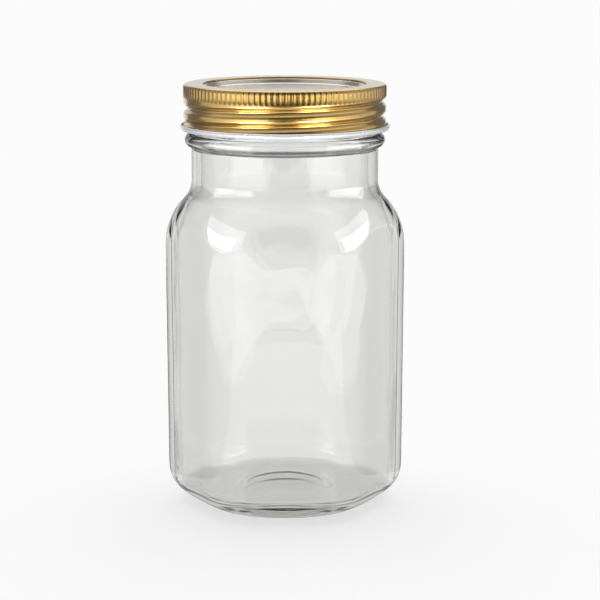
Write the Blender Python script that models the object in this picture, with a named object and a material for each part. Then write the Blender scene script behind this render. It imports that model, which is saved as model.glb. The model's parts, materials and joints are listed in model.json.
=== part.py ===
"""A pint mason jar with a two-piece closure: a flat lid with its sealing ring, and a screw band.

Metres, +Z up.  The origin is at the middle of the base, on the surface that the jar stands on.
The glass body is a hexagon with rounded corners at +X and -X; the neck, closure and base ring are round.
"""
import math

import bmesh
import bpy

# ---- shared -------------------------------------------------------------------------------------
SEGMENTS = 48              # facets round every piece, a multiple of the body's six sides
GAP = 0.0003               # air left between two pieces that touch
SHEET = 0.0004             # tinplate of the lid and the band

# ---- glass jar ----------------------------------------------------------------------------------
GLASS_HEIGHT = 0.1492      # base to sealing rim
BODY_SIDES = 6
BODY_REACH = 0.0429        # axis to the outside of a rounded corner, under the shoulder
BODY_TAPER = 0.0005        # how much less that is just above the heel
CORNER_ROUND = 0.0155      # outside radius of a body corner
INNER_ROUND = 0.0185       # inside radius of a body corner
CORNER_WALL = 0.0042       # glass at a body corner
FLAT_SOFTNESS = 0.6        # how soft the edge is where the flats run out on the shoulder
BASE_THICKNESS = 0.0064
HEEL_HEIGHT = 0.0116       # where the body wall starts to turn in to the base
HEEL_START = 25.0          # degrees by which the heel leaves the bearing ring
INNER_HEEL = 0.0036        # radius between the floor and the wall, inside
BEARING_OUTER = 0.0276     # the flat ring that the jar stands on
BEARING_WIDTH = 0.0080
PUSH_UP = 0.0016           # how far the middle of the base is raised inside that ring
SHOULDER_HEIGHT = 0.0230
SHOULDER_SHARE = 0.28      # part of the shoulder that is the hollow curve under the neck
NECK_RADIUS = 0.0331
NECK_HEIGHT = 0.0120       # straight neck between the transfer bead and the shoulder
NECK_WALL = 0.0032
FINISH_HEIGHT = 0.0198     # sealing rim down to the bottom of the transfer bead
TRANSFER_BEAD_HEIGHT = 0.0048
TRANSFER_BEAD_PROUD = 0.0025
RIM_ROUND = 0.0010

# ---- thread, shared by the glass and the band -----------------------------------------------------
THREAD_PITCH = 0.00508     # right-hand, five turns to the inch
THREAD_DEPTH = 0.00185     # glass thread, proud of the neck
THREAD_WIDTH = 0.0030
THREAD_TURNS = 1.50
THREAD_BELOW_RIM = 0.0026  # sealing rim to the middle of the thread's upper end
THREAD_START = math.radians(250.0)   # direction of the thread's upper end, seen from above
THREAD_FADE = math.radians(30.0)     # length of each tapered end
ROWS_PER_PITCH = 8

# ---- screw band -----------------------------------------------------------------------------------
BAND_CLEARANCE = 0.00075   # glass thread to the inside of the band
BAND_HEIGHT = 0.0163
FLANGE_WIDTH = 0.0071      # width of the band's top flange, from its outer wall to its opening
BAND_BEAD_DEPTH = 0.00115  # thread bead, pressed in from outside
BAND_BEAD_WIDTH = 0.0024
BAND_BEAD_TURNS = 1.80
BAND_CORNER = 0.0009       # outside radius between the flange and the wall
CURL_RADIUS = 0.0011       # rolled lower edge
CURL_PROUD = 0.00125       # how far the rolled edge stands outside the wall

# ---- flat lid and sealing ring ----------------------------------------------------------------------
LID_CLEARANCE = 0.0015     # lid edge to the inside of the band
LID_LIP = 0.0012           # turned-down edge of the lid, below its top face
MOUTH_CLEARANCE = 0.0010   # lid panel to the mouth of the glass
PANEL_DROP = 0.0016        # recess of the lid's middle panel
PANEL_SLOPE = 0.0005       # how far the recess wall leans in
RING_THICKNESS = 0.0008
RING_OVERLAP = 0.0002      # sealing ring to the mouth, measured along the glass rim

# ---- sizes that follow ------------------------------------------------------------------------------
BORE_RADIUS = NECK_RADIUS - NECK_WALL
BEAD_BOTTOM = GLASS_HEIGHT - FINISH_HEIGHT
BEAD_TOP = BEAD_BOTTOM + TRANSFER_BEAD_HEIGHT
SHOULDER_TOP = BEAD_BOTTOM - NECK_HEIGHT
SHOULDER_BOTTOM = SHOULDER_TOP - SHOULDER_HEIGHT
RING_BOTTOM = GLASS_HEIGHT + GAP
RING_TOP = RING_BOTTOM + RING_THICKNESS
LID_TOP = RING_TOP + GAP + SHEET
BAND_TOP = LID_TOP + GAP + SHEET
BAND_BOTTOM = BAND_TOP - BAND_HEIGHT
BAND_INSIDE = NECK_RADIUS + THREAD_DEPTH + BAND_CLEARANCE
BAND_RADIUS = BAND_INSIDE + SHEET
LID_RADIUS = BAND_INSIDE - LID_CLEARANCE
PANEL_RADIUS = BORE_RADIUS - MOUTH_CLEARANCE


def hexagon_radius(reach, rounding, angle):
    """Distance from the axis to a rounded hexagon with a corner at angle 0."""
    half_side = math.pi / BODY_SIDES
    corner_centre = reach - rounding
    flat_distance = corner_centre * math.cos(half_side) + rounding
    off_corner = (angle + half_side) % (2 * half_side) - half_side
    off_flat = half_side - abs(off_corner)
    if flat_distance * math.tan(off_flat) < corner_centre * math.sin(half_side):
        return flat_distance / math.cos(off_flat)
    across = corner_centre * math.sin(off_corner)
    return corner_centre * math.cos(off_corner) + math.sqrt(rounding ** 2 - across ** 2)


def cut_back(radius, reach, flat):
    """A shoulder radius, which grows to reach, cut back to the flats with a soft edge between the two."""
    soft = FLAT_SOFTNESS * (reach - radius)
    apart = abs(radius - flat)
    if apart >= soft:
        return min(radius, flat)
    return min(radius, flat) - (soft - apart) ** 2 / (4 * soft)


def helix_ridge(angle, height, top_angle, top_height, turns, width):
    """How much of a right-hand helical ridge stands at this place, from 0 to 1."""
    length = 2 * math.pi * turns
    strongest = 0.0
    for turn in range(math.ceil(turns) + 1):
        behind = (top_angle - angle) % (2 * math.pi) + 2 * math.pi * turn
        if behind > length:
            continue
        off_middle = height - (top_height - THREAD_PITCH * behind / (2 * math.pi))
        if abs(off_middle) < width / 2:
            across = 0.5 + 0.5 * math.cos(2 * math.pi * off_middle / width)
            ends = min(1.0, behind / THREAD_FADE, (length - behind) / THREAD_FADE)
            strongest = max(strongest, across * ends)
    return strongest


def spin_profile(bm, closed):
    """Turn the profile in bm, which lies in the XZ plane, once round the Z axis."""
    verts = list(bm.verts)
    pairs = zip(verts, verts[1:] + verts[:1]) if closed else zip(verts, verts[1:])
    edges = [bm.edges.new(pair) for pair in pairs]
    bmesh.ops.spin(bm, geom=verts + edges, cent=(0, 0, 0), axis=(0, 0, 1),
                   angle=2 * math.pi, steps=SEGMENTS, use_merge=True)
    bmesh.ops.remove_doubles(bm, verts=bm.verts, dist=0.000001)


def move_radius(vert, radius):
    """Put a vertex at a new distance from the axis, at its own height and direction."""
    angle = math.atan2(vert.co.y, vert.co.x)
    vert.co.x = radius * math.cos(angle)
    vert.co.y = radius * math.sin(angle)


def arc(centre_radius, centre_height, radius, start, end, steps):
    """Points (radius, height) along an arc in the profile, angles in degrees from outward."""
    points = []
    for step in range(steps + 1):
        angle = math.radians(start + (end - start) * step / steps)
        points.append((centre_radius + radius * math.cos(angle), centre_height + radius * math.sin(angle)))
    return points


def finish_object(bm, name, material):
    """Turn a bmesh into a named, smooth-shaded object with its faces pointing out."""
    bmesh.ops.recalc_face_normals(bm, faces=bm.faces)
    mesh = bpy.data.meshes.new(name)
    bm.to_mesh(mesh)
    bm.free()
    mesh.shade_smooth()
    mesh.set_sharp_from_angle(angle=math.radians(40))
    mesh.materials.append(material)
    piece = bpy.data.objects.new(name, mesh)
    bpy.context.scene.collection.objects.link(piece)
    return piece


def principled(name, colour, roughness, metallic, transmission=0.0):
    """A material with one Principled shader."""
    material = bpy.data.materials.new(name)
    material.use_nodes = True
    shader = material.node_tree.nodes["Principled BSDF"]
    shader.inputs["Base Color"].default_value = (*colour, 1.0)
    shader.inputs["Roughness"].default_value = roughness
    shader.inputs["Metallic"].default_value = metallic
    shader.inputs["Transmission Weight"].default_value = transmission
    return material


def clear_glass():
    return principled("clear_glass", (0.93, 0.96, 0.94), 0.02, 0.0, transmission=1.0)


def gold_tinplate():
    return principled("gold_tinplate", (0.78, 0.55, 0.20), 0.25, 1.0)


def lid_tinplate():
    return principled("lid_tinplate", (0.72, 0.55, 0.30), 0.30, 1.0)


def sealing_compound():
    return principled("sealing_compound", (0.62, 0.60, 0.56), 0.60, 0.0)


# ---- glass jar: rows of (radius, height, press), press being how far a row takes on the flats, 0 to 1 ----
def shoulder_rows(neck, reach, steps):
    """The shoulder from the neck down to the body: a hollow curve and then a round one."""
    turn = 2 * math.atan((reach - neck) / SHOULDER_HEIGHT)
    both = SHOULDER_HEIGHT / math.sin(turn)
    hollow = both * SHOULDER_SHARE
    full = both - hollow
    turn = math.degrees(turn)
    upper = arc(neck + hollow, SHOULDER_TOP, hollow, 180, 180 + turn, steps)
    lower = arc(reach - full, SHOULDER_BOTTOM, full, turn, 0, 2 * steps)
    return [(radius, height, min(1.0, 3 * (radius - neck) / (reach - neck)))
            for radius, height in upper + lower[1:]]


def heel_rows(steps):
    """The heel, from the edge of the bearing ring outwards and up to the body wall."""
    reach = BODY_REACH - BODY_TAPER
    first = math.radians(HEEL_START)
    rows = []
    for step in range(steps + 1):
        turn = first + (0.5 * math.pi - first) * step / steps
        share = (math.sin(turn) - math.sin(first)) / (1 - math.sin(first))
        rise = (math.cos(first) - math.cos(turn)) / math.cos(first)
        rows.append((BEARING_OUTER + (reach - BEARING_OUTER) * share, HEEL_HEIGHT * rise, share))
    return rows


def with_press(points, press):
    return [(radius, height, press) for radius, height in points]


def jar_outside():
    """The outside of the glass, from the middle of the base up to the sealing rim."""
    inner_ring = BEARING_OUTER - BEARING_WIDTH
    rows = with_press([(0.0, PUSH_UP), (inner_ring * 0.7, PUSH_UP), (inner_ring, 0.0)], 0.0)
    rows += heel_rows(6)
    rows += reversed(shoulder_rows(NECK_RADIUS, BODY_REACH, 4))
    bead_middle = (BEAD_BOTTOM + BEAD_TOP) / 2
    for step in range(7):
        turn = math.pi * (step / 6 - 0.5)
        rows.append((NECK_RADIUS + TRANSFER_BEAD_PROUD * math.cos(turn),
                     bead_middle + TRANSFER_BEAD_HEIGHT / 2 * math.sin(turn), 0.0))
    thread_zone = GLASS_HEIGHT - RIM_ROUND - BEAD_TOP
    count = math.ceil(thread_zone * ROWS_PER_PITCH / THREAD_PITCH)
    neck = [(NECK_RADIUS, BEAD_TOP + thread_zone * step / count) for step in range(1, count)]
    rows += with_press(neck, 0.0)
    rows += with_press(arc(NECK_RADIUS - RIM_ROUND, GLASS_HEIGHT - RIM_ROUND, RIM_ROUND, 0, 90, 3), 0.0)
    return rows


def jar_inside():
    """The inside of the glass, from the sealing rim down to the middle of the floor."""
    inner_reach = BODY_REACH - CORNER_WALL
    floor_reach = inner_reach - BODY_TAPER
    rows = with_press(arc(BORE_RADIUS + RIM_ROUND, GLASS_HEIGHT - RIM_ROUND, RIM_ROUND, 90, 180, 3), 0.0)
    rows += shoulder_rows(BORE_RADIUS, inner_reach, 4)
    rows += with_press(arc(floor_reach - INNER_HEEL, BASE_THICKNESS + INNER_HEEL, INNER_HEEL, 0, -90, 4), 1.0)
    rows.append((0.0, BASE_THICKNESS, 0.0))
    return rows


def glass_jar():
    bm = bmesh.new()
    press_of = bm.verts.layers.float.new("press")
    inside_of = bm.verts.layers.int.new("inside")
    for inside, rows in enumerate((jar_outside(), jar_inside())):
        for radius, height, press in rows:
            vert = bm.verts.new((radius, 0, height))
            vert[press_of] = press
            vert[inside_of] = inside
    spin_profile(bm, closed=False)
    for vert in bm.verts:
        radius = vert.co.xy.length
        angle = math.atan2(vert.co.y, vert.co.x)
        reach = BODY_REACH - CORNER_WALL * vert[inside_of]
        flat = hexagon_radius(reach, INNER_ROUND if vert[inside_of] else CORNER_ROUND, angle)
        drop = radius - cut_back(radius, reach, flat) if vert.co.z > SHOULDER_BOTTOM else reach - flat
        radius -= vert[press_of] * drop
        if BEAD_TOP < vert.co.z < GLASS_HEIGHT - RIM_ROUND and not vert[inside_of]:
            radius += THREAD_DEPTH * helix_ridge(angle, vert.co.z, THREAD_START,
                                                 GLASS_HEIGHT - THREAD_BELOW_RIM, THREAD_TURNS, THREAD_WIDTH)
        move_radius(vert, radius)
    return finish_object(bm, "glass_jar", clear_glass())


# ---- closure ------------------------------------------------------------------------------------
def flat_lid():
    """A tinplate disc: a turned-down edge, a flat rim over the glass and a recessed middle panel."""
    lip_inside = LID_RADIUS - SHEET
    panel_inside = PANEL_RADIUS - SHEET
    panel_top = LID_TOP - PANEL_DROP
    panel_edge = PANEL_RADIUS - PANEL_SLOPE
    top = [(0.0, panel_top), (panel_edge - SHEET, panel_top), (panel_inside, LID_TOP), (LID_RADIUS, LID_TOP)]
    under = [(LID_RADIUS, LID_TOP - LID_LIP), (lip_inside, LID_TOP - LID_LIP), (lip_inside, LID_TOP - SHEET),
             (PANEL_RADIUS, LID_TOP - SHEET), (panel_edge, panel_top - SHEET), (0.0, panel_top - SHEET)]
    bm = bmesh.new()
    for radius, height in top + under:
        bm.verts.new((radius, 0, height))
    spin_profile(bm, closed=False)
    return finish_object(bm, "flat_lid", lid_tinplate())


def sealing_ring():
    """The soft compound under the lid's rim, which lies on the glass."""
    inner = BORE_RADIUS + RING_OVERLAP
    outer = LID_RADIUS - SHEET - GAP
    bm = bmesh.new()
    for radius, height in ((inner, RING_BOTTOM), (outer, RING_BOTTOM), (outer, RING_TOP), (inner, RING_TOP)):
        bm.verts.new((radius, 0, height))
    spin_profile(bm, closed=True)
    return finish_object(bm, "sealing_ring", sealing_compound())


def band_section():
    """The closed outline of the band: flange, wall with its rows for the thread bead, and rolled edge."""
    opening = BAND_RADIUS - FLANGE_WIDTH
    curl_middle = BAND_RADIUS + CURL_PROUD - CURL_RADIUS
    curl_height = BAND_BOTTOM + CURL_RADIUS
    wall_bottom = curl_height + CURL_RADIUS
    wall_top = BAND_TOP - BAND_CORNER
    count = math.ceil((wall_top - wall_bottom) * ROWS_PER_PITCH / THREAD_PITCH)
    heights = [wall_top + (wall_bottom - wall_top) * step / count for step in range(count + 1)]
    outside = [(opening, BAND_TOP)]
    outside += arc(BAND_RADIUS - BAND_CORNER, wall_top, BAND_CORNER, 90, 30, 2)
    outside += [(BAND_RADIUS, height) for height in heights]
    outside += arc(curl_middle, curl_height, CURL_RADIUS, 45, -90, 4)
    inside = [(BAND_INSIDE, curl_height - CURL_RADIUS / 2)]
    inside += [(BAND_INSIDE, height) for height in reversed(heights)]
    inside += [(BAND_INSIDE - SHEET, BAND_TOP - SHEET), (opening, BAND_TOP - SHEET)]
    return outside + inside


def screw_band():
    bm = bmesh.new()
    for radius, height in band_section():
        bm.verts.new((radius, 0, height))
    spin_profile(bm, closed=True)
    half_turn_later = THREAD_START + math.pi
    bead_top = GLASS_HEIGHT - THREAD_BELOW_RIM
    lowest = BAND_BOTTOM + 2 * CURL_RADIUS
    highest = BAND_TOP - BAND_CORNER
    for vert in bm.verts:
        radius = vert.co.xy.length
        if lowest < vert.co.z < highest and radius > BAND_INSIDE - SHEET / 2:
            angle = math.atan2(vert.co.y, vert.co.x)
            move_radius(vert, radius - BAND_BEAD_DEPTH * helix_ridge(
                angle, vert.co.z, half_turn_later, bead_top, BAND_BEAD_TURNS, BAND_BEAD_WIDTH))
    return finish_object(bm, "screw_band", gold_tinplate())


def clear_scene():
    for old in list(bpy.data.objects):
        bpy.data.objects.remove(old, do_unlink=True)


clear_scene()
glass_jar()
flat_lid()
sealing_ring()
screw_band()
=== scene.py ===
"""A clear glass preserving jar with flat lid, sealing ring and gold screw band, on a pale studio floor."""
import json
import math

import bpy
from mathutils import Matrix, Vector, noise


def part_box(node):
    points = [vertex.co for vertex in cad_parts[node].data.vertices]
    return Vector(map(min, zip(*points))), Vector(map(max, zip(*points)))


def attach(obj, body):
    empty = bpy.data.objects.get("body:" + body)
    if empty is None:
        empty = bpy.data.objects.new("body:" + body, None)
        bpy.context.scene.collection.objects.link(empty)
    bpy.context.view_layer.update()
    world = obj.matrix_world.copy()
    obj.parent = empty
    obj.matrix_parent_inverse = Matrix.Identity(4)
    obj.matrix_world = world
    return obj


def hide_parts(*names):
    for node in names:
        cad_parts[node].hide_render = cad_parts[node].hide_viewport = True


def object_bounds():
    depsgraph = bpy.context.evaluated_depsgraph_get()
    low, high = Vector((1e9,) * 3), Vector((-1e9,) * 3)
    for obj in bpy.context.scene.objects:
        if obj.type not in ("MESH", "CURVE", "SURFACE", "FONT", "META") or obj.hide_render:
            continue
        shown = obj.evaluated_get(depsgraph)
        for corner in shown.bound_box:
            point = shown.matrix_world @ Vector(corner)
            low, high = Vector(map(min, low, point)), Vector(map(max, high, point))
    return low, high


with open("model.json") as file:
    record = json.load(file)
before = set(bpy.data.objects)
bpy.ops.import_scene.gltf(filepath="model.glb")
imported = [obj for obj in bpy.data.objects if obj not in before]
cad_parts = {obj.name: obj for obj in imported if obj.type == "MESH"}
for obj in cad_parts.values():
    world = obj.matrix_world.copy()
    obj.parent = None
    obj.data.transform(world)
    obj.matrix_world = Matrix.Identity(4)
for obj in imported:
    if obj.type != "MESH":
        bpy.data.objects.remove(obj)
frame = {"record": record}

bl_info = {
    "name": "Preserving jar",
    "version": (1, 0, 0),
    "blender": (4, 5, 0),
    "location": "View3D > Sidebar > Jar",
    "description": "Builds a preserving jar with its closure, and the studio round it",
    "category": "Add Mesh",
}

# ---- places taken from the frame ------------------------------------------------------------------
CAD_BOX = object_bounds()
_, GLASS_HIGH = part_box("glass_jar")
LID_LOW, LID_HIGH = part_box("flat_lid")
RING_LOW, RING_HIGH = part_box("sealing_ring")
BAND_LOW, BAND_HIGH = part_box("screw_band")
THREAD_RISE = frame["record"]["behaviour"]["couplings"][0]["ratio"]   # metres for each radian of turn
FULL_TURN = 2 * math.pi
BODY_SIDES = 6
SEAM_GATHER = 0.35      # how closely the glass's columns gather at the two mould seams, in radians
DARK = (0.03, 0.03, 0.03)       # colours of the studio's cards
GREY = (0.25, 0.25, 0.25)
BRIGHT = (0.90, 0.90, 0.90)


# ---- sizes and colours ------------------------------------------------------------------------------
def length(name, description, default):
    return bpy.props.FloatProperty(name=name, description=description, default=default, unit="LENGTH",
                                   precision=5)


def colour(name, description, default):
    return bpy.props.FloatVectorProperty(name=name, description=description, default=default,
                                         subtype="COLOR", size=3, min=0.0, max=1.0)


def share(name, description, default):
    return bpy.props.FloatProperty(name=name, description=description, default=default,
                                   subtype="FACTOR", min=0.0, max=1.0)


def angle(name, description, degrees):
    return bpy.props.FloatProperty(name=name, description=description, default=math.radians(degrees),
                                   subtype="ANGLE")


def number(name, description, default):
    return bpy.props.FloatProperty(name=name, description=description, default=default, min=0.0)


def count(name, description, default):
    return bpy.props.IntProperty(name=name, description=description, default=default, min=3)


class GlassSettings(bpy.types.PropertyGroup):
    corner_round: length("Corner rounding", "Outside radius of a body corner", 0.0155)
    inner_round: length("Inner corner rounding", "Inside radius of a body corner", 0.0185)
    corner_wall: length("Corner wall", "Thickness of the glass at a body corner", 0.0042)
    corner_blend: angle("Corner blend", "How far a corner's rounding runs out into the flats", 8)
    edge_softness: share("Edge softness", "How softly the flats run out on the shoulder", 1.0)
    softening: count("Softening", "How many times the surface of the body is smoothed", 12)
    wave_depth: length("Waves", "Depth of the slow waves of the inner wall", 0.00022)
    wave_length: length("Wave length", "Length of those waves", 0.030)
    taper: length("Body taper", "How much less the reach is at the heel than at the shoulder", 0.0005)
    base: length("Base", "Thickness of the base", 0.0064)
    heel: length("Heel", "Height at which the wall starts to turn in to the base", 0.0116)
    heel_start: angle("Heel start", "Angle by which the heel leaves the bearing ring", 25)
    inner_heel: length("Inner heel", "Radius between the floor and the wall", 0.0036)
    bearing: length("Bearing ring", "Outside radius of the ring that the jar stands on", 0.0276)
    bearing_width: length("Bearing width", "Width of that ring", 0.0080)
    push_up: length("Push-up", "How far the middle of the base is raised", 0.0016)
    push_up_slope: share("Push-up slope", "Part of the raised middle's radius that slopes", 0.3)
    neck: length("Neck radius", "Outside radius of the neck", 0.0331)
    neck_wall: length("Neck wall", "Thickness of the neck", 0.0032)
    neck_height: length("Neck height", "Straight neck below the transfer bead", 0.0120)
    shoulder: length("Shoulder height", "Height of the shoulder", 0.0230)
    hollow_share: share("Hollow share", "Part of the shoulder that is the hollow curve", 0.28)
    finish: length("Finish height", "Sealing rim to the bottom of the transfer bead", 0.0198)
    bead_height: length("Bead height", "Height of the transfer bead", 0.0048)
    bead_proud: length("Bead proud", "How far the transfer bead stands out of the neck", 0.0025)
    rim_round: length("Rim rounding", "Rounding of the sealing rim", 0.0010)
    thread_depth: length("Thread depth", "How far the thread stands out of the neck", 0.00185)
    thread_width: length("Thread width", "Width of the thread at its root", 0.0030)
    thread_below: length("Thread below rim", "Sealing rim to the middle of the thread's upper end", 0.0026)
    thread_start: angle("Thread start", "Direction of the thread's upper end", 250)
    thread_turns: number("Thread turns", "Length of the thread in turns", 1.5)
    thread_fade: angle("Thread fade", "Length of each tapered end of a thread", 30)
    seam_proud: length("Seam", "How far the mould seams stand out", 0.00012)
    seam_width: length("Seam width", "Width of a mould seam", 0.0009)
    columns: count("Columns", "Facets round the glass", 288)
    tint: colour("Tint", "Colour of light that has gone through thick glass", (0.60, 0.62, 0.58))
    density: number("Density", "How strongly thick glass tints the light", 4.0)
    # Painted shade: a grey coat tint that darkens the glass where it is seen at a slant, for the dark
    # outline of its edges.
    skin: colour("Skin", "Colour of light that has crossed one surface", (0.961, 0.961, 0.958))


class BandSettings(bpy.types.PropertyGroup):
    sheet: length("Sheet", "Thickness of the tinplate", 0.0004)
    flange: length("Flange", "Width of the top flange", 0.0071)
    edge_drop: length("Edge drop", "How far the edge of the flange's opening turns down", 0.0002)
    corner: length("Corner", "Outside radius between the flange and the wall", 0.0011)
    curl_proud: length("Curl proud", "How far the rolled edge stands outside the wall", 0.00125)
    curl_height: length("Curl height", "Height of the rolled edge", 0.0020)
    curl_end: angle("Curl end", "Where the rolled edge stops, up from outward", 78)
    bead_depth: length("Bead depth", "Depth of the rolled thread bead", 0.00115)
    bead_width: length("Bead width", "Width of the rolled thread bead", 0.0038)
    bead_turns: number("Bead turns", "Length of the bead in turns", 1.8)
    flutes: count("Flutes", "Flutes of the knurl round the band", 114)
    flute_columns: count("Flute columns", "Facets across one flute", 6)
    flute_depth: length("Flute depth", "Depth of one flute", 0.00024)
    flute_length: length("Flute length", "Length of a flute, from the top of the band", 0.0048)
    gold: colour("Gold", "Lacquered outside of the band", (0.62, 0.39, 0.10))
    dullness: share("Dullness", "How dull the lacquered outside is", 0.20)
    coating: colour("Coating", "White coating inside the band", (0.72, 0.73, 0.75))


class LidSettings(bpy.types.PropertyGroup):
    sheet: length("Sheet", "Thickness of the tinplate", 0.0004)
    lip: length("Lip", "Turned-down edge, below the top face", 0.0012)
    panel: length("Panel", "Outside radius of the recess, at its top", 0.0289)
    panel_slope: length("Panel slope", "How far the wall of the recess leans in", 0.0005)
    fold: length("Fold", "Rounding of the folds", 0.0003)
    ring_overlap: length("Ring overlap", "Sealing ring to the mouth, along the glass rim", 0.0002)
    columns: count("Columns", "Facets round the lid", 240)
    gold: colour("Gold", "Lacquered top of the lid", (0.97, 0.91, 0.80))
    dullness: share("Dullness", "How dull the lacquered top is", 0.22)
    coating: colour("Coating", "White coating under the lid", (0.80, 0.81, 0.83))
    compound: colour("Compound", "Sealing compound", (0.58, 0.54, 0.50))


class StageSettings(bpy.types.PropertyGroup):
    camera_distance: length("Camera distance", "Jar axis to camera, level with the floor", 0.780)
    camera_height: length("Camera height", "Floor to camera", 0.2153)
    camera_pitch: angle("Camera pitch", "How far the camera looks down", 10.3)
    camera_yaw: angle("Camera yaw", "How far the camera looks to the right of the jar", 0.396)
    lens: number("Lens", "Focal length in millimetres", 131.85)
    floor_colour: colour("Floor", "Colour of the floor", (0.40, 0.40, 0.40))
    floor_glow: number("Floor glow", "Light that the floor gives off by itself", 0.62)
    side_glow: number("Side glow", "Brightness of the lit floor that the jar mirrors on both sides", 1.1)
    sky_behind: number("Sky behind", "Brightness of the studio behind the jar", 0.74)
    sky_front: number("Sky in front", "Brightness of the studio on the camera's side", 0.30)
    fill: number("Fill", "Strength of the broad light from above", 1.2)
    softbox: number("Softboxes", "Power of each softbox that lights the glass, in watts", 3.2)
    low_light: number("Low lights", "Power of each low light that shines up at the band, in watts", 1.0)


# ---- modelling by hand --------------------------------------------------------------------------------
def deselect_all():
    bpy.ops.object.select_all(action="DESELECT")


def raise_outline(name, outline, columns, ring):
    """Extrude a circle row by row through an outline of (radius, height), as clay is raised on a wheel.

    A ring's last row is bridged to its first; otherwise the first and last rows are filled to the axis.
    """
    deselect_all()
    radius, height = outline[0]
    bpy.ops.mesh.primitive_circle_add(vertices=columns, radius=radius, location=(0, 0, height))
    piece = bpy.context.object
    piece.name = name
    piece.data.name = name
    bpy.ops.object.transform_apply(location=True)
    bpy.ops.object.mode_set(mode="EDIT")
    bpy.ops.mesh.select_all(action="SELECT")
    for next_radius, next_height in outline[1:]:
        bpy.ops.mesh.extrude_region_move(TRANSFORM_OT_translate={"value": (0, 0, next_height - height)})
        factor = next_radius / radius
        bpy.ops.transform.resize(value=(factor, factor, 1), center_override=(0, 0, next_height))
        radius = next_radius
        height = next_height
    bpy.ops.mesh.select_all(action="DESELECT")
    bpy.ops.mesh.select_mode(type="EDGE")
    bpy.ops.mesh.select_non_manifold()
    if ring:
        bpy.ops.mesh.bridge_edge_loops()
    else:
        bpy.ops.mesh.edge_face_add()
        bpy.ops.mesh.poke()
    bpy.ops.mesh.select_all(action="SELECT")
    bpy.ops.mesh.normals_make_consistent(inside=False)
    bpy.ops.object.mode_set(mode="OBJECT")
    bpy.ops.object.shade_smooth()
    return piece


def arc(centre_radius, centre_height, radius, start, end, steps):
    """Points (radius, height) along an arc of an outline, with angles in degrees from outward."""
    return oval(centre_radius, centre_height, radius, radius, start, end, steps)


def oval(centre_radius, centre_height, half_width, half_height, start, end, steps):
    """Points (radius, height) along part of an oval in an outline."""
    points = []
    for step in range(steps + 1):
        turn = math.radians(start + (end - start) * step / steps)
        points.append((centre_radius + half_width * math.cos(turn),
                       centre_height + half_height * math.sin(turn)))
    return points


def between(first, last, steps):
    """Evenly spaced points between two points of an outline, without the two themselves."""
    return [(first[0] + (last[0] - first[0]) * step / steps, first[1] + (last[1] - first[1]) * step / steps)
            for step in range(1, steps)]


def helix_ridge(direction, height, top_direction, top_height, turns, width, fade):
    """How much of a right-hand helical ridge stands at this place, from 0 to 1."""
    whole = FULL_TURN * turns
    strongest = 0.0
    for turn in range(math.ceil(turns) + 1):
        behind = (top_direction - direction) % FULL_TURN + FULL_TURN * turn
        if behind > whole:
            continue
        off_middle = height - (top_height - THREAD_RISE * behind)
        if abs(off_middle) < width / 2:
            across = 0.5 + 0.5 * math.cos(FULL_TURN * off_middle / width)
            end = min(1.0, behind / fade, (whole - behind) / fade)
            strongest = max(strongest, across * (3 - 2 * end) * end * end)
    return strongest


def hexagon_radius(reach, rounding, direction):
    """Distance from the axis to a rounded hexagon with a corner at direction 0."""
    half_side = math.pi / BODY_SIDES
    corner_centre = reach - rounding
    flat_distance = corner_centre * math.cos(half_side) + rounding
    off_corner = (direction + half_side) % (2 * half_side) - half_side
    off_flat = half_side - abs(off_corner)
    if flat_distance * math.tan(off_flat) < corner_centre * math.sin(half_side):
        return flat_distance / math.cos(off_flat)
    across = corner_centre * math.sin(off_corner)
    return corner_centre * math.cos(off_corner) + math.sqrt(rounding ** 2 - across ** 2)


def direction_of(vertex):
    return math.atan2(vertex.co.y, vertex.co.x)


def put_at(vertex, radius, direction):
    """Put a vertex at a new distance and direction from the axis, at its own height."""
    vertex.co.x = radius * math.cos(direction)
    vertex.co.y = radius * math.sin(direction)


def paint_faces(piece, finishes, choose):
    """Give a piece its finishes, and each face the one that choose(face) numbers."""
    for finish in finishes:
        piece.data.materials.append(finish)
    for face in piece.data.polygons:
        face.material_index = choose(face)


def place(piece, body, node):
    """Ride a finished piece on its body, in place of its CAD node."""
    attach(piece, body)
    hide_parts(node)


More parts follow.
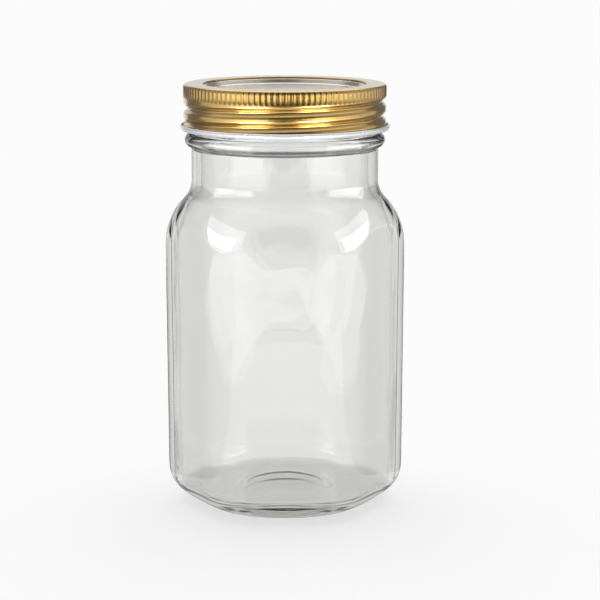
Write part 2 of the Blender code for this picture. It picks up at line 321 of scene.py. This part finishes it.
# ---- glass ------------------------------------------------------------------------------------------
class GlassShape:
    """The outline of the glass, row by row, and how each row is pressed into the mould."""

    def __init__(self, glass):
        self.glass = glass
        self.reach = GLASS_HIGH.x - 1.5 * glass.seam_proud
        self.inner_reach = self.reach - glass.corner_wall
        self.bore = glass.neck - glass.neck_wall
        self.rim = GLASS_HIGH.z
        self.bead_bottom = self.rim - glass.finish
        self.bead_top = self.bead_bottom + glass.bead_height
        self.shoulder_top = self.bead_bottom - glass.neck_height
        self.shoulder_bottom = self.shoulder_top - glass.shoulder
        self.outline = []
        self.press = []
        self.add_base()
        self.add_outer_wall()
        self.add_finish()
        self.outer_rows = len(self.outline)
        self.add_inside()

    def add(self, points, press):
        """Rows that share one press: 0 leaves a row round, and 1 presses it to the full hexagon."""
        self.outline += points
        self.press += [press] * len(points)

    def add_shoulder(self, points, neck, reach):
        """Rows that the flats cut back, but for the top of the shoulder, which stays round."""
        self.outline += points
        self.press += [min(1.0, 3 * (radius - neck) / (reach - neck)) for radius, _ in points]

    def shoulder(self, neck, reach):
        """The shoulder from the neck down to the body: a hollow curve and then a full one."""
        glass = self.glass
        turn = 2 * math.atan((reach - neck) / glass.shoulder)
        both = glass.shoulder / math.sin(turn)
        hollow = both * glass.hollow_share
        full = both - hollow
        turn = math.degrees(turn)
        upper = arc(neck + hollow, self.shoulder_top, hollow, 180, 180 + turn, 10)
        return upper + arc(reach - full, self.shoulder_bottom, full, turn, 0, 20)[1:]

    def add_base(self):
        """The raised middle of the base, the bearing ring and the heel."""
        glass = self.glass
        inner_ring = glass.bearing - glass.bearing_width
        slope = glass.push_up_slope * inner_ring
        self.add([(inner_ring - slope, glass.push_up)], 0)
        for part in (0.2, 0.4, 0.6, 0.8, 1.0):
            left = glass.push_up * (1 - part) ** 2 * (1 + 2 * part)
            self.add([(inner_ring - slope * (1 - part), left)], 0)
        low_reach = self.reach - glass.taper
        first = glass.heel_start
        steps = 16
        for step in range(steps + 1):
            turn = first + (math.pi / 2 - first) * step / steps
            part = (math.sin(turn) - math.sin(first)) / (1 - math.sin(first))
            rise = (math.cos(first) - math.cos(turn)) / math.cos(first)
            self.add([(glass.bearing + (low_reach - glass.bearing) * part, glass.heel * rise)], part)

    def add_outer_wall(self):
        """The body wall, the shoulder and the straight neck."""
        shoulder = self.shoulder(self.glass.neck, self.reach)[::-1]
        self.add(between(self.outline[-1], shoulder[0], 40), 1)
        self.add_shoulder(shoulder, self.glass.neck, self.reach)
        self.add(between(self.outline[-1], (self.glass.neck, self.bead_bottom), 12), 0)

    def add_finish(self):
        """The transfer bead, the rows that carry the thread, and the sealing rim."""
        glass = self.glass
        middle = (self.bead_bottom + self.bead_top) / 2
        self.add(oval(glass.neck, middle, glass.bead_proud, glass.bead_height / 2, -90, 90, 18), 0)
        rim = arc(glass.neck - glass.rim_round, self.rim - glass.rim_round, glass.rim_round, 0, 90, 6)
        self.add(between(self.outline[-1], rim[0], 56) + rim, 0)

    def add_inside(self):
        """The inside of the neck, shoulder and body, down to the edge of the floor."""
        glass = self.glass
        rim = arc(self.bore + glass.rim_round, self.rim - glass.rim_round, glass.rim_round, 90, 180, 6)
        shoulder = self.shoulder(self.bore, self.inner_reach)
        floor_reach = self.inner_reach - glass.taper - glass.inner_heel
        heel = arc(floor_reach, glass.base + glass.inner_heel, glass.inner_heel, 0, -90, 8)
        self.add(rim + between(rim[-1], shoulder[0], 8), 0)
        self.add_shoulder(shoulder, self.bore, self.inner_reach)
        self.add(between(shoulder[-1], heel[0], 40) + heel, 1)
        self.add([(floor_reach * part, glass.base) for part in (0.97, 0.9)], 1)


def mould_radii(reach, rounding, directions, blend):
    """Radius of the hexagonal mould in each direction, its corners running softly out into the flats."""
    def blended(direction):
        steps = 8
        spread = [direction + blend * (2 * step / steps - 1) for step in range(steps + 1)]
        return sum(hexagon_radius(reach, rounding, near) for near in spread) / len(spread)

    half_side = math.pi / BODY_SIDES
    corner = blended(0)
    flat = blended(half_side)
    flat_distance = hexagon_radius(reach, rounding, half_side)
    stretch = (reach - flat_distance) / (corner - flat)
    return [flat_distance + (blended(direction) - flat) * stretch for direction in directions]


def cut_back(radius, reach, flat, softness):
    """A shoulder radius, which grows to reach, cut back to the flats with a soft edge between the two."""
    soft = softness * (reach - radius)
    apart = abs(radius - flat)
    if apart >= soft:
        return min(radius, flat)
    return min(radius, flat) - (soft - apart) ** 2 / (4 * soft)


def press_glass(piece, shape, glass):
    """Press the round body into its hexagonal mould, with slow waves in the wall that was blown."""
    columns = glass.columns
    evenly = [direction_of(vertex) for vertex in piece.data.vertices[:columns]]
    directions = [direction - SEAM_GATHER * math.sin(2 * direction) for direction in evenly]
    outer_mould = mould_radii(shape.reach, glass.corner_round, directions, glass.corner_blend)
    inner_mould = mould_radii(shape.inner_reach, glass.inner_round, directions, glass.corner_blend)
    for vertex in piece.data.vertices:
        row, column = divmod(vertex.index, columns)
        if row >= len(shape.outline):
            continue
        radius, height = shape.outline[row]
        inside = row >= shape.outer_rows
        reach = shape.inner_reach if inside else shape.reach
        flat = inner_mould[column] if inside else outer_mould[column]
        drop = reach - flat
        if height > shape.shoulder_bottom:
            drop = radius - cut_back(radius, reach, flat, glass.edge_softness)
        radius -= shape.press[row] * drop
        if inside:
            radius += shape.press[row] * glass.wave_depth * noise.noise(vertex.co / glass.wave_length)
        put_at(vertex, radius, directions[column])


def smooth_body(piece, shape, glass):
    """Smooth the body, from the heel to the full curve of the shoulder, so that no curve starts abruptly."""
    highest = shape.shoulder_top - glass.hollow_share * glass.shoulder
    bpy.ops.object.mode_set(mode="EDIT")
    bpy.ops.mesh.select_mode(type="VERT")
    bpy.ops.mesh.select_all(action="DESELECT")
    bpy.ops.object.mode_set(mode="OBJECT")
    for vertex in piece.data.vertices:
        vertex.select = glass.heel / 2 < vertex.co.z < highest
    bpy.ops.object.mode_set(mode="EDIT")
    bpy.ops.mesh.vertices_smooth(factor=0.5, repeat=glass.softening)
    bpy.ops.object.mode_set(mode="OBJECT")


def raise_seams_and_thread(piece, shape, glass):
    """Raise the two mould seams down the body and the thread round the neck."""
    thread_top = shape.rim - glass.thread_below
    for vertex in piece.data.vertices:
        if vertex.index >= shape.outer_rows * glass.columns:
            continue
        radius = vertex.co.xy.length
        height = vertex.co.z
        direction = direction_of(vertex)
        if shape.bead_top < height < shape.rim - glass.rim_round:
            radius += glass.thread_depth * helix_ridge(direction, height, glass.thread_start, thread_top,
                                                       glass.thread_turns, glass.thread_width,
                                                       glass.thread_fade)
        elif glass.heel / 2 < height < shape.bead_bottom:
            off_seam = abs(radius * math.sin(direction)) / (glass.seam_width / 2)
            radius += glass.seam_proud * max(0.0, 1 - off_seam ** 2)
        put_at(vertex, radius, direction)


class JAR_OT_glass(bpy.types.Operator):
    """Raise the glass jar, press it to its hexagonal body and give it its thread"""
    bl_idname = "jar.glass"
    bl_label = "Glass"

    def execute(self, context):
        glass = context.scene.jar_glass
        shape = GlassShape(glass)
        piece = raise_outline("jar_glass", shape.outline, glass.columns, ring=False)
        press_glass(piece, shape, glass)
        smooth_body(piece, shape, glass)
        raise_seams_and_thread(piece, shape, glass)
        piece.data.materials.append(clear_glass(glass))
        place(piece, "jar", "glass_jar")
        return {"FINISHED"}


# ---- screw band ---------------------------------------------------------------------------------------
def band_wall(band):
    """Radius of the outside of the band's wall."""
    return BAND_HIGH.x - band.curl_proud


def curl_middle(band):
    """Centre of the rolled edge, and its half width and half height."""
    half_width = (band.sheet + band.curl_proud) / 2
    half_height = band.curl_height / 2
    return band_wall(band) - band.sheet + half_width, BAND_LOW.z + half_height, half_width, half_height


def band_outline(band):
    """The closed outline of the band: flange, wall, into the rolled edge and out, and up the inside."""
    wall = band_wall(band)
    opening = wall - band.flange
    top = BAND_HIGH.z
    half = band.sheet / 2
    middle, curl_height, half_width, half_height = curl_middle(band)
    curl_end = math.degrees(band.curl_end)
    half_edge = (band.sheet + band.edge_drop) / 2
    outline = oval(opening + half, top - half_edge, half, half_edge, 270, 90, 4)
    corner = arc(wall - band.corner, top - band.corner, band.corner, 90, 0, 6)
    outline += between(outline[-1], corner[0], 5) + corner
    outline += between(corner[-1], (wall, curl_height), 46)
    hollow_width = half_width - band.sheet
    hollow_height = half_height - band.sheet
    outline += oval(middle, curl_height, hollow_width, hollow_height, -180, curl_end, 12)
    outline += oval(middle, curl_height, half_width, half_height, curl_end, -180, 16)
    inner_corner = arc(wall - band.corner, top - band.corner, band.corner - band.sheet, 0, 90, 4)
    outline += between(outline[-1], inner_corner[0], 44) + inner_corner
    return outline + between(inner_corner[-1], outline[0], 4)


def flute_depth_at(band, direction, height):
    """Depth of the knurl here, from 0 to 1: hollow flutes side by side, with round lower ends."""
    across = 2 * abs((direction * band.flutes / FULL_TURN) % 1 - 0.5)
    along = (BAND_HIGH.z - height) / band.flute_length
    if along >= 1:
        return 0.0
    narrowing = math.sqrt(1 - along ** 6)
    return max(0.0, 1 - (across / narrowing) ** 2) * narrowing


def roll_band(piece, band, glass):
    """Roll the thread bead into the wall and press the knurl round its upper part."""
    wall = band_wall(band)
    inside = wall - 1.5 * band.sheet
    outside = wall - band.sheet / 2
    lowest = BAND_LOW.z + band.curl_height
    highest = BAND_HIGH.z - band.corner
    bead_start = glass.thread_start + math.pi
    bead_top = GLASS_HIGH.z - glass.thread_below
    for vertex in piece.data.vertices:
        radius = vertex.co.xy.length
        height = vertex.co.z
        if radius < inside or height < lowest:
            continue
        direction = direction_of(vertex)
        pressed = 0.0
        if height < highest:
            pressed = band.bead_depth * helix_ridge(direction, height, bead_start, bead_top, band.bead_turns,
                                                    band.bead_width, glass.thread_fade)
        if radius > outside:
            pressed += band.flute_depth * flute_depth_at(band, direction, height)
        put_at(vertex, radius - pressed, direction)


class JAR_OT_band(bpy.types.Operator):
    """Raise the screw band, roll its thread bead and press its knurl"""
    bl_idname = "jar.band"
    bl_label = "Screw band"

    def execute(self, context):
        band = context.scene.jar_band
        columns = band.flutes * band.flute_columns
        piece = raise_outline("band_shell", band_outline(band), columns, ring=True)
        roll_band(piece, band, context.scene.jar_glass)
        coated_rows = coated_row_range(band)
        finishes = [gold_lacquer("band_gold", band.gold, band.dullness),
                    white_coating("band_coating", band.coating)]
        paint_faces(piece, finishes, lambda face: int(min(face.vertices) // columns in coated_rows))
        place(piece, "band", "screw_band")
        return {"FINISHED"}


def coated_row_range(band):
    """Rows of the outline that carry the inside coating: the outside of the rolled edge and the inside."""
    outline = band_outline(band)
    middle, curl_height, half_width, half_height = curl_middle(band)
    curl = oval(middle, curl_height, half_width, half_height, math.degrees(band.curl_end), -180, 16)
    return range(outline.index(curl[0]) - 1, len(outline))


# ---- flat lid and sealing ring --------------------------------------------------------------------------
def lid_outline(lid):
    """Top face from the panel outwards, the turned-down edge, and the underside back to the panel."""
    edge = LID_HIGH.x
    top = LID_HIGH.z
    fold = lid.fold
    under = top - lid.sheet
    panel_top = LID_LOW.z + lid.sheet
    panel_edge = lid.panel - lid.panel_slope
    outline = [(panel_edge * part, panel_top) for part in (0.3, 0.6, 0.9)]
    outline += arc(panel_edge - lid.sheet - fold, panel_top + fold, fold, -90, -10, 4)
    outline += arc(lid.panel - lid.sheet + fold, top - fold, fold, 170, 90, 4)
    outline += arc(edge - 1.5 * fold, top - 1.5 * fold, 1.5 * fold, 90, 0, 5)
    outline += [(edge, top - lid.lip), (edge - lid.sheet, top - lid.lip), (edge - lid.sheet, under)]
    outline += [(lid.panel, under), (panel_edge, LID_LOW.z + fold), (panel_edge - fold, LID_LOW.z)]
    return outline + [(panel_edge * part, LID_LOW.z) for part in (0.9, 0.6, 0.3)]


class JAR_OT_lid(bpy.types.Operator):
    """Raise the flat lid with its recessed panel"""
    bl_idname = "jar.lid"
    bl_label = "Flat lid"

    def execute(self, context):
        lid = context.scene.jar_lid
        piece = raise_outline("lid_disc", lid_outline(lid), lid.columns, ring=False)
        bpy.ops.object.shade_smooth_by_angle(angle=math.radians(35))
        finishes = [gold_lacquer("lid_gold", lid.gold, lid.dullness),
                    white_coating("lid_coating", lid.coating)]
        paint_faces(piece, finishes, lambda face: int(face.normal.z < -0.3))
        place(piece, "lid", "flat_lid")
        return {"FINISHED"}


class JAR_OT_ring(bpy.types.Operator):
    """Raise the ring of sealing compound under the lid's rim"""
    bl_idname = "jar.ring"
    bl_label = "Sealing ring"

    def execute(self, context):
        lid = context.scene.jar_lid
        glass = context.scene.jar_glass
        inner = glass.neck - glass.neck_wall + lid.ring_overlap
        outer = RING_HIGH.x
        half = (RING_HIGH.z - RING_LOW.z) / 2
        outline = arc(outer - half, RING_LOW.z + half, half, -90, 90, 8)
        outline += arc(inner + half, RING_LOW.z + half, half, 90, 270, 8)
        piece = raise_outline("compound_ring", outline, lid.columns, ring=True)
        piece.data.materials.append(sealing_compound(lid.compound))
        place(piece, "lid", "sealing_ring")
        return {"FINISHED"}


# ---- finishes -------------------------------------------------------------------------------------------
class Wire:
    """A socket that plain arithmetic can be written on; each operator adds one Math node."""

    def __init__(self, nodes, socket):
        self.nodes = nodes
        self.socket = socket

    def maths(self, operation, *values):
        return self.nodes.add("ShaderNodeMath", {"operation": operation}, dict(enumerate(values)))

    def __add__(self, other):
        return self.maths("ADD", self, other)

    __radd__ = __add__

    def __sub__(self, other):
        return self.maths("SUBTRACT", self, other)

    def __rsub__(self, other):
        return self.maths("SUBTRACT", other, self)

    def __mul__(self, other):
        return self.maths("MULTIPLY", self, other)

    __rmul__ = __mul__

    def __pow__(self, other):
        return self.maths("POWER", self, other)

    def clamp(self):
        """This value, held between 0 and 1."""
        return self.nodes.add("ShaderNodeClamp", {}, {0: self})


class Nodes:
    """A node tree that is written as expressions on wires."""

    def __init__(self, tree):
        self.tree = tree

    def add(self, kind, settings, inputs, output=0):
        """One node: its settings are made first, and then each socket is given a wire or a value."""
        node = self.tree.nodes.new(kind)
        for name, value in settings.items():
            setattr(node, name, value)
        for name, value in inputs.items():
            self.feed(node.inputs[name], value)
        return Wire(self, node.outputs[output])

    def feed(self, socket, value):
        if isinstance(value, Wire):
            self.tree.links.new(value.socket, socket)
        else:
            socket.default_value = value

    def place(self, source="Object"):
        """The coordinates of the place being shaded: the vector, and its three parts."""
        vector = self.add("ShaderNodeTexCoord", {}, {}, source)
        parts = [self.add("ShaderNodeSeparateXYZ", {}, {0: vector}, part) for part in ("X", "Y", "Z")]
        return vector, parts

    def join(self, x, y, z):
        return self.add("ShaderNodeCombineXYZ", {}, {0: x, 1: y, 2: z})

    def mix(self, factor, first, second):
        """A colour between two colours."""
        colours = {0: factor, 6: opaque(first), 7: opaque(second)}
        return self.add("ShaderNodeMix", {"data_type": "RGBA"}, colours, 2)

    def noise(self, vector, scale, detail=2.0):
        return self.add("ShaderNodeTexNoise", {}, {"Vector": vector, "Scale": scale, "Detail": detail})

    def bump(self, height, strength, distance):
        return self.add("ShaderNodeBump", {}, {"Height": height, "Strength": strength, "Distance": distance})


class Finish(Nodes):
    """A material with one Principled shader, whose sockets are set by name."""

    def __init__(self, name):
        self.material = bpy.data.materials.new(name)
        self.material.use_nodes = True
        super().__init__(self.material.node_tree)
        self.shader = self.tree.nodes["Principled BSDF"]

    def set(self, **values):
        for name, value in values.items():
            self.feed(self.shader.inputs[name.replace("_", " ")], value)


def opaque(value):
    return value if isinstance(value, Wire) else (*value, 1.0)


def scaled(value, factor):
    return tuple(min(1.0, part * factor) for part in value)


def clear_glass(glass):
    """Clear soda-lime glass: smooth, faintly tinted where it is thick, with the slow waves of moulding.

    The coat's grey tint is painted shade.  It bends no light and so adds no gloss, and only darkens light
    that crosses the surface at a slant, which paints the thin grey outline that clear glass has against a
    pale wall.
    """
    finish = Finish("clear_glass")
    vector, (x, y, z) = finish.place()
    waves = finish.noise(vector, 60.0, detail=1.0)
    draws = finish.noise(finish.join(x, y, z * 0.3), 260.0, detail=1.0)
    smears = finish.noise(vector, 110.0, detail=4.0)
    finish.set(Base_Color=finish.mix(smears, (0.985, 0.992, 0.988), (1.0, 1.0, 1.0)),
               Roughness=((smears - 0.56) * 0.15).clamp(),
               Normal=finish.bump(waves + draws * 0.12, 0.3, 0.0003))
    finish.set(IOR=1.52, Transmission_Weight=1.0)
    # The coat tint is painted shade: it darkens slanting light, for the grey outline at the glass's edges.
    finish.set(Coat_Weight=1.0, Coat_IOR=1.0, Coat_Tint=opaque(glass.skin))
    thickness = finish.add("ShaderNodeVolumeAbsorption", {},
                           {"Color": opaque(glass.tint), "Density": glass.density})
    finish.feed(finish.tree.nodes["Material Output"].inputs["Volume"], thickness)
    return finish.material


def gold_lacquer(name, gold, roughness):
    """Tinplate under clear gold lacquer: fine rolled grain round the axis, duller where it is rubbed."""
    finish = Finish(name)
    vector, (x, y, z) = finish.place()
    radius = (x * x + y * y) ** 0.5
    grain = finish.noise(finish.join(x * 25.0, y * 25.0, (z + radius) * 2600.0), 1.0, detail=3.0)
    cloud = finish.noise(vector, 160.0, detail=3.0)
    tone = finish.mix(cloud, scaled(gold, 0.94), scaled(gold, 1.05))
    finish.set(Base_Color=finish.mix(grain * 0.5, tone, scaled(gold, 0.82)),
               Roughness=roughness + grain * 0.08 + cloud * 0.03,
               Normal=finish.bump(grain, 0.06, 0.00008))
    finish.set(Metallic=1.0, Coat_Weight=1.0, Coat_Roughness=0.12, Coat_IOR=1.6)
    return finish.material


def white_coating(name, coating):
    """Bright white coating on the inside of the tinplate."""
    finish = Finish(name)
    vector, _ = finish.place()
    cloud = finish.noise(vector, 300.0, detail=3.0)
    finish.set(Base_Color=finish.mix(cloud, scaled(coating, 0.95), scaled(coating, 1.05)),
               Roughness=0.2 + cloud * 0.12,
               Normal=finish.bump(cloud, 0.1, 0.0001))
    finish.set(Metallic=0.4, Coat_Weight=0.3, Coat_Roughness=0.1)
    return finish.material


def sealing_compound(compound):
    """Soft, slightly mottled sealing compound."""
    finish = Finish("sealing_compound")
    vector, _ = finish.place()
    mottle = finish.noise(vector, 900.0, detail=4.0)
    finish.set(Base_Color=finish.mix(mottle, scaled(compound, 0.85), scaled(compound, 1.1)),
               Roughness=0.5 + mottle * 0.2,
               Normal=finish.bump(mottle, 0.3, 0.0001))
    return finish.material


def floor_paper(stage):
    """Matt white background paper, with a hardly visible fibre."""
    finish = Finish("floor_paper")
    vector, _ = finish.place()
    fibre = finish.noise(vector, 40.0, detail=3.0)
    finish.set(Base_Color=finish.mix(fibre, scaled(stage.floor_colour, 0.985), stage.floor_colour),
               Roughness=0.7 + fibre * 0.1)
    finish.set(Specular_IOR_Level=0.0, Emission_Color=(1, 1, 1, 1), Emission_Strength=stage.floor_glow)
    return finish.material


# ---- studio -----------------------------------------------------------------------------------------------
def aimed_at_jar(azimuth, elevation, distance):
    """Place and turn of something that faces the jar.  Azimuth 0 is the camera's side."""
    middle = (CAD_BOX[0] + CAD_BOX[1]) / 2
    around = math.radians(azimuth)
    up = math.radians(elevation)
    toward = Vector((math.sin(around) * math.cos(up), -math.cos(around) * math.cos(up), math.sin(up)))
    return middle + toward * distance, toward.to_track_quat("Z", "Y").to_euler()


def lay_floor(stage):
    """A wide round floor."""
    deselect_all()
    bpy.ops.mesh.primitive_circle_add(vertices=96, radius=9.0, fill_type="NGON")
    floor = bpy.context.object
    floor.name = "studio_floor"
    floor.data.materials.append(floor_paper(stage))


def softbox(name, azimuth, elevation, distance, width, height, power, piece):
    """A rectangular light that faces the jar and lights only one piece of it."""
    receivers = bpy.data.collections.new(name)
    receivers.objects.link(bpy.data.objects[piece])
    light = bpy.data.lights.new(name, "AREA")
    light.shape = "RECTANGLE"
    light.size = width
    light.size_y = height
    light.energy = power
    lamp = bpy.data.objects.new(name, light)
    bpy.context.scene.collection.objects.link(lamp)
    lamp.location, lamp.rotation_euler = aimed_at_jar(azimuth, elevation, distance)
    lamp.visible_camera = False
    lamp.light_linking.receiver_collection = receivers


def light_glass(stage):
    """A softbox on each side, for the highlights on the shoulder of the glass."""
    for name, azimuth in (("left_softbox", -68), ("right_softbox", 83)):
        softbox(name, azimuth, elevation=12, distance=0.8, width=0.84, height=0.37,
                power=stage.softbox, piece="jar_glass")


def light_band(stage):
    """A small low light on each side, for the highlights on the beads of the band."""
    for name, azimuth in (("left_low_light", -36), ("right_low_light", 34)):
        softbox(name, azimuth, elevation=-8, distance=0.4, width=0.24, height=0.06,
                power=stage.low_light, piece="band_shell")


def card_finish(name, colour, glow):
    """A matt card, which may also shine."""
    finish = Finish(name)
    finish.set(Base_Color=opaque(colour), Roughness=1.0, Specular_IOR_Level=0.0)
    finish.set(Emission_Color=(1, 1, 1, 1), Emission_Strength=glow)
    return finish.material


def card(name, location, rotation, width, height, finish, through_glass):
    """A card that is never seen directly and lights nothing: surfaces mirror it, and glass may show it."""
    deselect_all()
    bpy.ops.mesh.primitive_plane_add(size=1.0, location=location, rotation=rotation)
    made = bpy.context.object
    made.name = name
    made.scale = (width, height, 1)
    made.data.materials.append(finish)
    made.visible_camera = False
    made.visible_shadow = False
    made.visible_diffuse = False
    made.visible_transmission = through_glass


def flag(name, azimuth, elevation, distance, width, height, colour, through_glass):
    """A card that stands facing the jar."""
    location, rotation = aimed_at_jar(azimuth, elevation, distance)
    card(name, location, rotation, width, height, card_finish(name, colour, 0.0), through_glass)


def floor_patch(name, azimuth, near, far, width, colour, glow, through_glass):
    """A card that lies on the floor, from one distance to another."""
    around = math.radians(azimuth)
    middle = (near + far) / 2
    location = (middle * math.sin(around), -middle * math.cos(around), 0.001)
    finish = card_finish(name, colour, glow)
    card(name, location, (0, 0, around), width, far - near, finish, through_glass)


def stand_cards():
    """Cards that the jar mirrors as the dark of the room: before it, and behind it on both sides."""
    flag("camera_flag", 6, 20, distance=1.2, width=1.2, height=1.2, colour=DARK, through_glass=True)
    for name, azimuth in (("left_flag", -125), ("right_flag", 140)):
        flag(name, azimuth, 10, distance=0.9, width=0.6, height=1.0, colour=GREY, through_glass=False)


def lay_cards(stage):
    """Cards on the floor: a dark one before the jar, a lit one on each side, and a grey one further back."""
    floor_patch("front_patch", 6, near=0.33, far=1.3, width=0.8, colour=DARK, glow=0.0,
                through_glass=True)
    for name, azimuth in (("left_patch", -48), ("right_patch", 56)):
        floor_patch(name, azimuth, near=0.25, far=1.3, width=0.8, colour=BRIGHT, glow=stage.side_glow,
                    through_glass=True)
    for name, azimuth in (("left_grey_patch", -115), ("right_grey_patch", 125)):
        floor_patch(name, azimuth, near=0.06, far=1.3, width=0.7, colour=GREY, glow=0.0,
                    through_glass=False)


def studio_world(stage):
    """Pale studio walls all round, paler behind the jar than on the camera's side."""
    world = bpy.data.worlds.new("studio")
    bpy.context.scene.world = world
    world.use_nodes = True
    nodes = Nodes(world.node_tree)
    _, (_, y, _) = nodes.place("Generated")
    behind = 0.5 + y * 0.5
    background = world.node_tree.nodes["Background"]
    strength = stage.sky_front + behind * (stage.sky_behind - stage.sky_front)
    nodes.feed(background.inputs["Strength"], strength)
    nodes.feed(background.inputs["Color"], (1, 1, 1, 1))


def broad_light(stage):
    """A wide, even light from above."""
    light = bpy.data.lights.new("broad_light", "SUN")
    light.energy = stage.fill
    light.angle = math.radians(80)
    lamp = bpy.data.objects.new("broad_light", light)
    bpy.context.scene.collection.objects.link(lamp)
    lamp.rotation_euler = (math.radians(-20), 0, 0)


def photographer(stage):
    """The camera, on the jar's axis and looking a little down."""
    camera = bpy.data.cameras.new("studio_camera")
    camera.lens = stage.lens
    camera.sensor_width = 36.0
    holder = bpy.data.objects.new("studio_camera", camera)
    bpy.context.scene.collection.objects.link(holder)
    holder.location = (0, -stage.camera_distance, stage.camera_height)
    holder.rotation_euler = (math.pi / 2 - stage.camera_pitch, 0, -stage.camera_yaw)
    bpy.context.scene.camera = holder


def trace_light(scene):
    """Plain colours, and enough bounces for light that runs round inside the glass."""
    scene.view_settings.view_transform = "Standard"
    scene.cycles.max_bounces = 24
    scene.cycles.glossy_bounces = 16
    scene.cycles.transmission_bounces = 24


class JAR_OT_stage(bpy.types.Operator):
    """Lay the floor, hang the lights and set the camera"""
    bl_idname = "jar.stage"
    bl_label = "Studio"

    def execute(self, context):
        stage = context.scene.jar_stage
        lay_floor(stage)
        light_glass(stage)
        light_band(stage)
        stand_cards()
        lay_cards(stage)
        studio_world(stage)
        broad_light(stage)
        photographer(stage)
        trace_light(context.scene)
        return {"FINISHED"}


class JAR_PT_panel(bpy.types.Panel):
    """The pieces of the jar, one button each"""
    bl_idname = "JAR_PT_panel"
    bl_label = "Preserving jar"
    bl_space_type = "VIEW_3D"
    bl_region_type = "UI"
    bl_category = "Jar"

    def draw(self, context):
        for operator in OPERATORS:
            self.layout.operator(operator.bl_idname)


SETTINGS = {"jar_glass": GlassSettings, "jar_band": BandSettings, "jar_lid": LidSettings,
            "jar_stage": StageSettings}
OPERATORS = (JAR_OT_glass, JAR_OT_lid, JAR_OT_ring, JAR_OT_band, JAR_OT_stage)


def register():
    for name, group in SETTINGS.items():
        bpy.utils.register_class(group)
        setattr(bpy.types.Scene, name, bpy.props.PointerProperty(type=group))
    for operator in OPERATORS:
        bpy.utils.register_class(operator)
    bpy.utils.register_class(JAR_PT_panel)


def unregister():
    bpy.utils.unregister_class(JAR_PT_panel)
    for operator in reversed(OPERATORS):
        bpy.utils.unregister_class(operator)
    for name, group in SETTINGS.items():
        delattr(bpy.types.Scene, name)
        bpy.utils.unregister_class(group)


def main():
    register()
    bpy.ops.jar.glass()
    bpy.ops.jar.lid()
    bpy.ops.jar.ring()
    bpy.ops.jar.band()
    bpy.ops.jar.stage()


if __name__ == "__main__":
    main()
